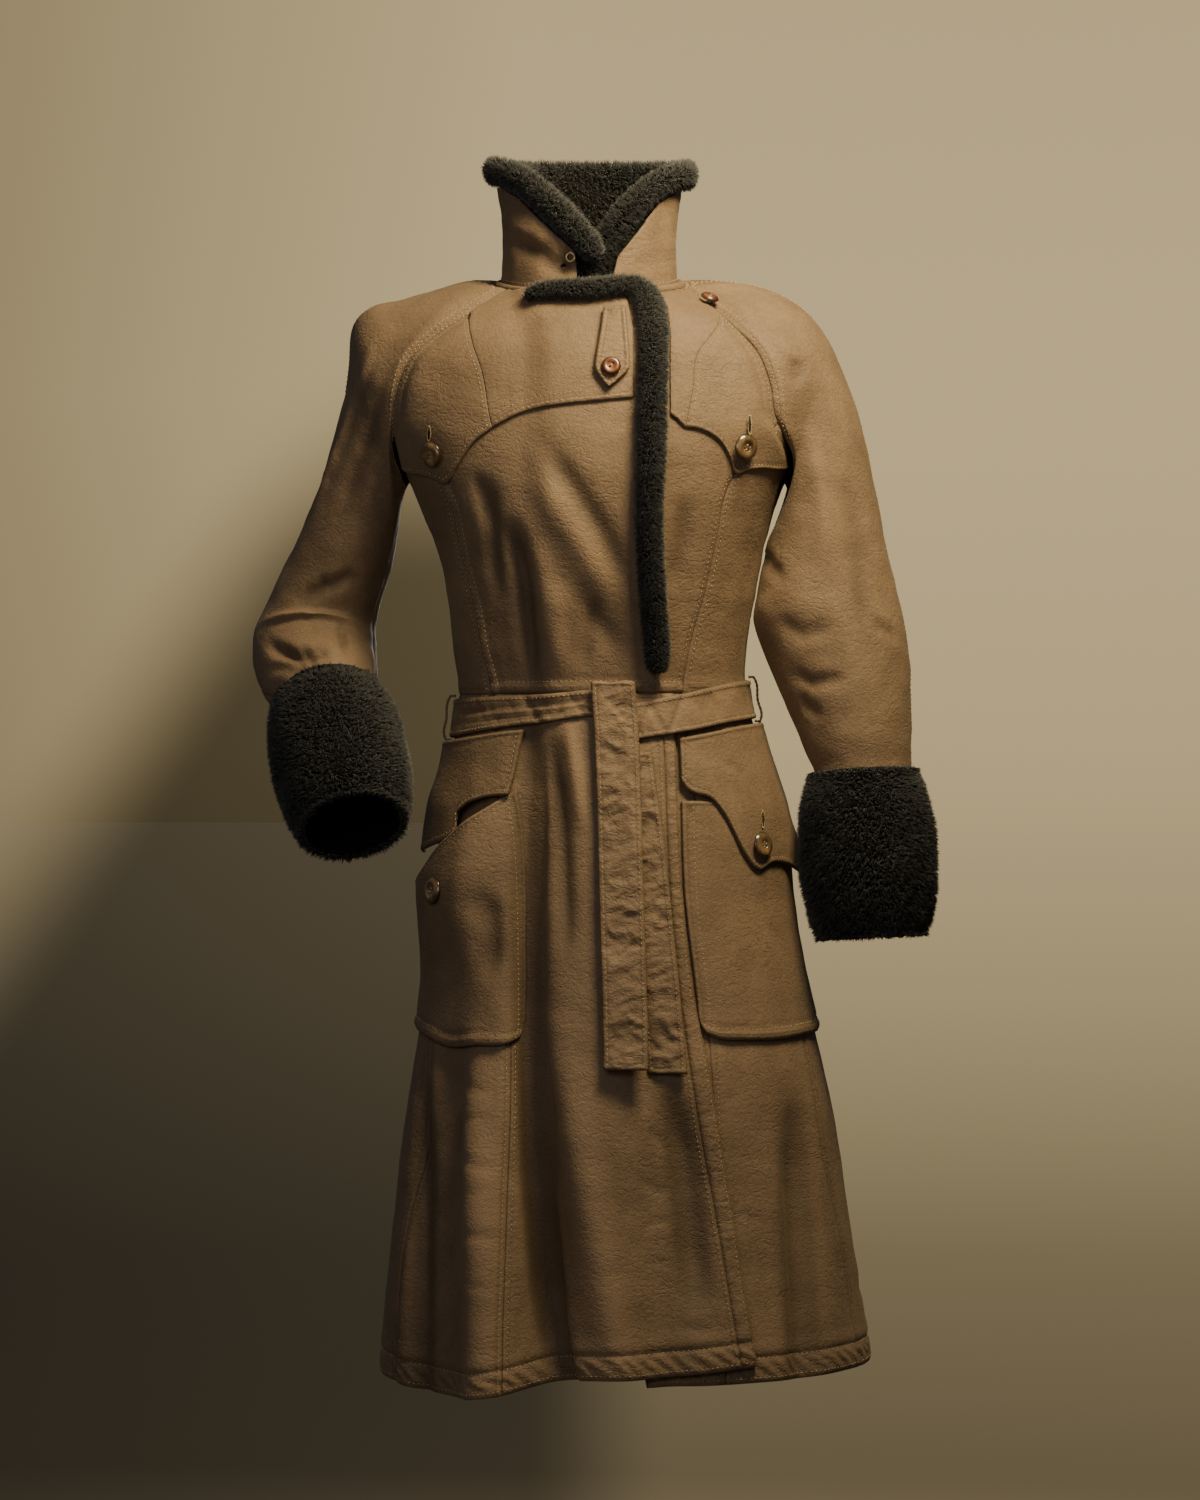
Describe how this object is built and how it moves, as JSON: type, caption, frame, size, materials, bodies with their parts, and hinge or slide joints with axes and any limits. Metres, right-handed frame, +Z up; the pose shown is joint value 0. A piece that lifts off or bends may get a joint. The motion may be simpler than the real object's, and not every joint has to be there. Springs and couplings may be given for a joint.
{
  "type": "shearling coat",
  "caption": "Knee-length suede coat with a dark fur stand collar, front trim and deep cuffs, raglan sleeves, tie belt and flap pockets, filled out as worn.",
  "frame": {"origin": "middle of the neck opening, level with the shoulder line where the wearer carries the coat", "axes": "+Z up along the wearer, +X to the wearer's left, +Y to the wearer's back; the front with the lap faces -Y"},
  "size_m": [0.6829, 0.4042, 1.2273],
  "materials": {
    "suede": "brushed nap",
    "fur": "clipped pile",
    "button_horn": "polished horn",
    "button_nut": "polished",
    "hook": "aged"
  },
  "bodies": {
    "root": {"belt_band": "suede", "belt_end_back": "suede", "belt_end_front": "suede", "belt_loop_left": "suede", "belt_loop_right": "suede", "bodice_back_left": "suede", "bodice_back_right": "suede", "bodice_front_left": "suede", "bodice_front_right": "suede", "bodice_side_left": "suede", "bodice_side_right": "suede", "collar_fur_lining": "fur", "collar_fur_roll": "fur", "collar_hook": "hook", "collar_stand": "suede", "cuff_left": "fur", "cuff_right": "fur", "front_fur_trim": "fur", "pocket_button_left": "button_horn", "pocket_button_right": "button_horn", "pocket_flap_left": "suede", "pocket_flap_right": "suede", "pocket_left": "suede", "pocket_right": "suede", "shoulder_button": "button_nut", "skirt_back_left": "suede", "skirt_back_right": "suede", "skirt_front_band": "suede", "skirt_front_left": "suede", "skirt_front_right": "suede", "skirt_side_left": "suede", "skirt_side_right": "suede", "sleeve_left_back": "suede", "sleeve_left_front": "suede", "sleeve_right_back": "suede", "sleeve_right_front": "suede", "storm_button_left": "button_horn", "storm_button_right": "button_horn", "storm_flap_left": "suede", "storm_flap_right": "suede", "throat_button": "button_nut", "throat_tab": "suede", "yoke_left": "suede", "yoke_right": "suede"}
  },
  "joints": []
}
